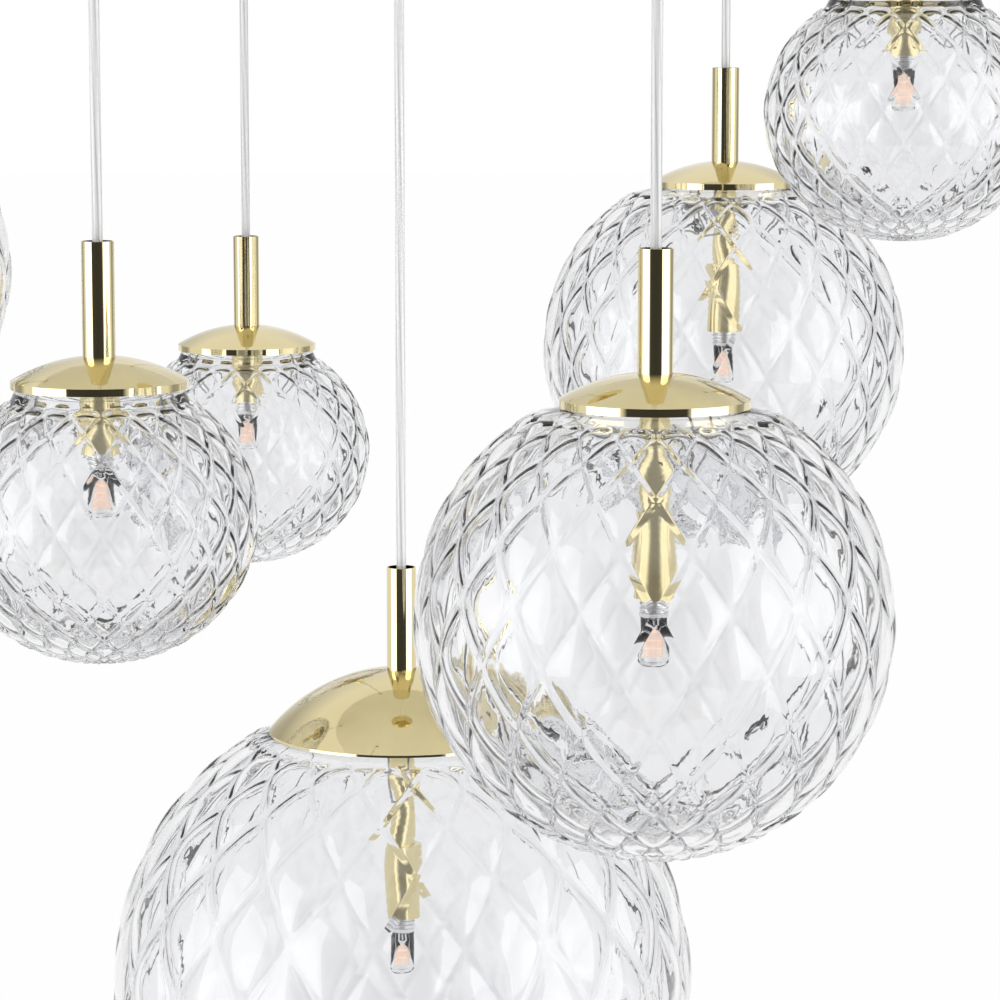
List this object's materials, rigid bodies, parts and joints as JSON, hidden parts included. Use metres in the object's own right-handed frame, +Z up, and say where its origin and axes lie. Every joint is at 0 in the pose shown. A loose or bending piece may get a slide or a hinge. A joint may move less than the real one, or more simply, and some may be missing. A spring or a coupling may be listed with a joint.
{
  "type": "cluster pendant",
  "caption": "Cluster pendant: clear glass globes with a diamond relief, brass caps and stems, hung on straight clear cords from one round ceiling canopy.",
  "frame": {"origin": "on the ceiling face of the bracket, above the cord of the centre pendant", "axes": "+Z up out of the ceiling face, +X to the right and +Y to the back as seen in the picture"},
  "size_m": [1.0242, 1.0441, 1.0847],
  "materials": {
    "white_paint": "matt",
    "zinc_steel": "satin",
    "satin_brass": "satin",
    "clear_cord": "gloss",
    "ceramic": "satin",
    "lamp_glass": "gloss",
    "clear_glass": "gloss"
  },
  "bodies": {
    "ceiling": {"canopy": "white_paint", "ceiling_bracket": "zinc_steel", "centre_plate": "satin_brass", "cord_grips": "satin_brass"},
    "left_drop": {"left_cord": "clear_cord", "left_stem": "satin_brass", "left_cap": "satin_brass", "left_glass_clip": "zinc_steel", "left_sleeve": "satin_brass", "left_lampholder": "ceramic"},
    "left_glass": {"left_globe": "clear_glass"},
    "left_lamp": {"left_bulb": "lamp_glass"},
    "back_left_drop": {"back_left_cord": "clear_cord", "back_left_stem": "satin_brass", "back_left_cap": "satin_brass", "back_left_glass_clip": "zinc_steel", "back_left_sleeve": "satin_brass", "back_left_lampholder": "ceramic"},
    "back_left_glass": {"back_left_globe": "clear_glass"},
    "back_left_lamp": {"back_left_bulb": "lamp_glass"},
    "front_drop": {"front_cord": "clear_cord", "front_stem": "satin_brass", "front_cap": "satin_brass", "front_glass_clip": "zinc_steel", "front_sleeve": "satin_brass", "front_lampholder": "ceramic"},
    "front_glass": {"front_globe": "clear_glass"},
    "front_lamp": {"front_bulb": "lamp_glass"},
    "centre_drop": {"centre_cord": "clear_cord", "centre_stem": "satin_brass", "centre_cap": "satin_brass", "centre_glass_clip": "zinc_steel", "centre_sleeve": "satin_brass", "centre_lampholder": "ceramic"},
    "centre_glass": {"centre_globe": "clear_glass"},
    "centre_lamp": {"centre_bulb": "lamp_glass"},
    "back_right_drop": {"back_right_cord": "clear_cord", "back_right_stem": "satin_brass", "back_right_cap": "satin_brass", "back_right_glass_clip": "zinc_steel", "back_right_sleeve": "satin_brass", "back_right_lampholder": "ceramic"},
    "back_right_glass": {"back_right_globe": "clear_glass"},
    "back_right_lamp": {"back_right_bulb": "lamp_glass"},
    "right_drop": {"right_cord": "clear_cord", "right_stem": "satin_brass", "right_cap": "satin_brass", "right_glass_clip": "zinc_steel", "right_sleeve": "satin_brass", "right_lampholder": "ceramic"},
    "right_glass": {"right_globe": "clear_glass"},
    "right_lamp": {"right_bulb": "lamp_glass"},
    "far_left_drop": {"far_left_cord": "clear_cord", "far_left_stem": "satin_brass", "far_left_cap": "satin_brass", "far_left_glass_clip": "zinc_steel", "far_left_sleeve": "satin_brass", "far_left_lampholder": "ceramic"},
    "far_left_glass": {"far_left_globe": "clear_glass"},
    "far_left_lamp": {"far_left_bulb": "lamp_glass"}
  },
  "joints": [
    {"name": "left_swing", "type": "hinge", "parent": "ceiling", "child": "left_drop", "pos_m": [-0.176, -0.239, -0.051], "axis": [1, 0, 0], "range_deg": [-6, 6]},
    {"name": "left_glass_release", "type": "slide", "parent": "left_drop", "child": "left_glass", "axis": [0, 0, -1], "range_m": [0, 0.09], "deforming": ["left_glass_clip"]},
    {"name": "left_lamp_pull", "type": "slide", "parent": "left_drop", "child": "left_lamp", "axis": [0, 0, -1], "range_m": [0, 0.014]},
    {"name": "back_left_swing", "type": "hinge", "parent": "ceiling", "child": "back_left_drop", "pos_m": [-0.132, 0.408, -0.051], "axis": [1, 0, 0], "range_deg": [-6, 6]},
    {"name": "back_left_glass_release", "type": "slide", "parent": "back_left_drop", "child": "back_left_glass", "axis": [0, 0, -1], "range_m": [0, 0.09], "deforming": ["back_left_glass_clip"]},
    {"name": "back_left_lamp_pull", "type": "slide", "parent": "back_left_drop", "child": "back_left_lamp", "axis": [0, 0, -1], "range_m": [0, 0.014]},
    {"name": "front_swing", "type": "hinge", "parent": "ceiling", "child": "front_drop", "pos_m": [0.154, -0.405, -0.051], "axis": [1, 0, 0], "range_deg": [-6, 6]},
    {"name": "front_glass_release", "type": "slide", "parent": "front_drop", "child": "front_glass", "axis": [0, 0, -1], "range_m": [0, 0.16], "deforming": ["front_glass_clip"]},
    {"name": "front_lamp_pull", "type": "slide", "parent": "front_drop", "child": "front_lamp", "axis": [0, 0, -1], "range_m": [0, 0.014]},
    {"name": "centre_swing", "type": "hinge", "parent": "ceiling", "child": "centre_drop", "pos_m": [0, 0, -0.053], "axis": [1, 0, 0], "range_deg": [-6, 6]},
    {"name": "centre_glass_release", "type": "slide", "parent": "centre_drop", "child": "centre_glass", "axis": [0, 0, -1], "range_m": [0, 0.175], "deforming": ["centre_glass_clip"]},
    {"name": "centre_lamp_pull", "type": "slide", "parent": "centre_drop", "child": "centre_lamp", "axis": [0, 0, -1], "range_m": [0, 0.014]},
    {"name": "back_right_swing", "type": "hinge", "parent": "ceiling", "child": "back_right_drop", "pos_m": [0.236, 0.301, -0.051], "axis": [1, 0, 0], "range_deg": [-6, 6]},
    {"name": "back_right_glass_release", "type": "slide", "parent": "back_right_drop", "child": "back_right_glass", "axis": [0, 0, -1], "range_m": [0, 0.16], "deforming": ["back_right_glass_clip"]},
    {"name": "back_right_lamp_pull", "type": "slide", "parent": "back_right_drop", "child": "back_right_lamp", "axis": [0, 0, -1], "range_m": [0, 0.014]},
    {"name": "right_swing", "type": "hinge", "parent": "ceiling", "child": "right_drop", "pos_m": [0.345, 0.082, -0.051], "axis": [1, 0, 0], "range_deg": [-6, 6]},
    {"name": "right_glass_release", "type": "slide", "parent": "right_drop", "child": "right_glass", "axis": [0, 0, -1], "range_m": [0, 0.09], "deforming": ["right_glass_clip"]},
    {"name": "right_lamp_pull", "type": "slide", "parent": "right_drop", "child": "right_lamp", "axis": [0, 0, -1], "range_m": [0, 0.014]},
    {"name": "far_left_swing", "type": "hinge", "parent": "ceiling", "child": "far_left_drop", "pos_m": [-0.415, 0.125, -0.051], "axis": [1, 0, 0], "range_deg": [-6, 6]},
    {"name": "far_left_glass_release", "type": "slide", "parent": "far_left_drop", "child": "far_left_glass", "axis": [0, 0, -1], "range_m": [0, 0.16], "deforming": ["far_left_glass_clip"]},
    {"name": "far_left_lamp_pull", "type": "slide", "parent": "far_left_drop", "child": "far_left_lamp", "axis": [0, 0, -1], "range_m": [0, 0.014]}
  ]
}
